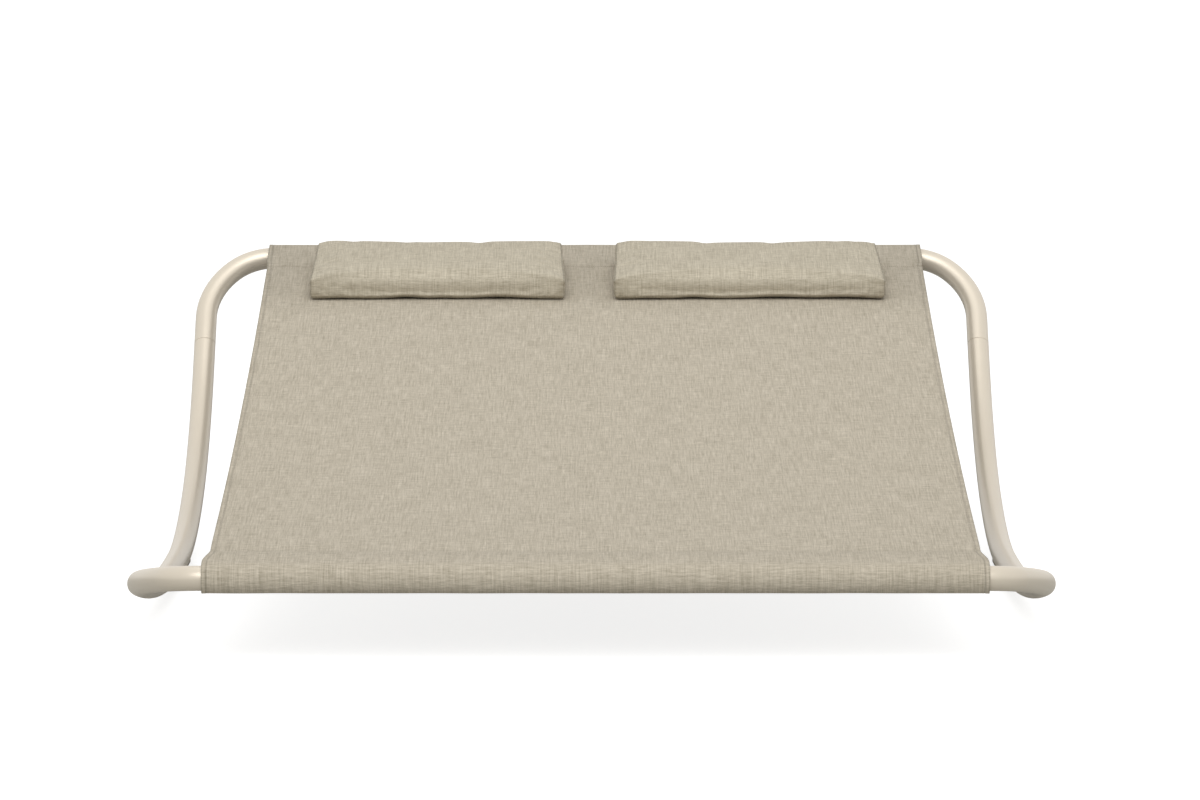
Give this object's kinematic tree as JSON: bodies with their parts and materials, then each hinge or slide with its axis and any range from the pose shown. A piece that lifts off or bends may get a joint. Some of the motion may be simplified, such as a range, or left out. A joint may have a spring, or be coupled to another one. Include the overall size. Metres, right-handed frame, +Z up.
{
  "type": "double chaise lounger",
  "caption": "Wide patio lounger: a bent tube frame forms its own skids and holds a stretched fabric sling with loose head pillows.",
  "frame": {"origin": "on the floor, midway between the foot bar and the head bar and midway between the rails", "axes": "+X across the lounger to the right as seen from the foot end, +Y from the foot bar to the head bar, +Z up"},
  "size_m": [1.428, 1.9976, 0.506],
  "materials": {
    "frame_tube": "satin champagne powder coat",
    "bare_steel": "zinc plated",
    "screws": "stainless, satin",
    "glides": "moulded, matte",
    "sling_cloth": "woven linen look, beige",
    "pillow_cloth": "woven linen look, beige",
    "hook_tape": "hook and loop tape",
    "filling": "polyester fibre filling",
    "zips": "coil zip tape"
  },
  "bodies": {
    "root": {"foot_bow": "frame_tube", "head_bow": "frame_tube", "side_rail_left": "frame_tube", "side_rail_right": "frame_tube", "foot_sleeve_left": "bare_steel", "foot_sleeve_right": "bare_steel", "head_sleeve_left": "bare_steel", "head_sleeve_right": "bare_steel", "foot_joint_screws": "screws", "head_joint_screws": "screws", "glide_screws": "screws", "glide_front_left": "glides", "glide_front_right": "glides", "glide_rear_left": "glides", "glide_rear_right": "glides", "sling": "sling_cloth", "sling_hem_left": "sling_cloth", "sling_hem_right": "sling_cloth", "sling_loop_tapes_left": "hook_tape", "sling_loop_tapes_right": "hook_tape"},
    "pillow_left": {"pillow_cover_left": "pillow_cloth", "pillow_core_left": "filling", "pillow_zip_left": "zips", "pillow_hook_tapes_left": "hook_tape"},
    "pillow_right": {"pillow_cover_right": "pillow_cloth", "pillow_core_right": "filling", "pillow_zip_right": "zips", "pillow_hook_tapes_right": "hook_tape"}
  },
  "joints": [
    {"name": "pillow_left_lift", "type": "slide", "parent": "root", "child": "pillow_left", "axis": [0, -0.2176, 0.976], "range_m": [0, 0.12]},
    {"name": "pillow_right_lift", "type": "slide", "parent": "root", "child": "pillow_right", "axis": [0, -0.2176, 0.976], "range_m": [0, 0.12]}
  ]
}
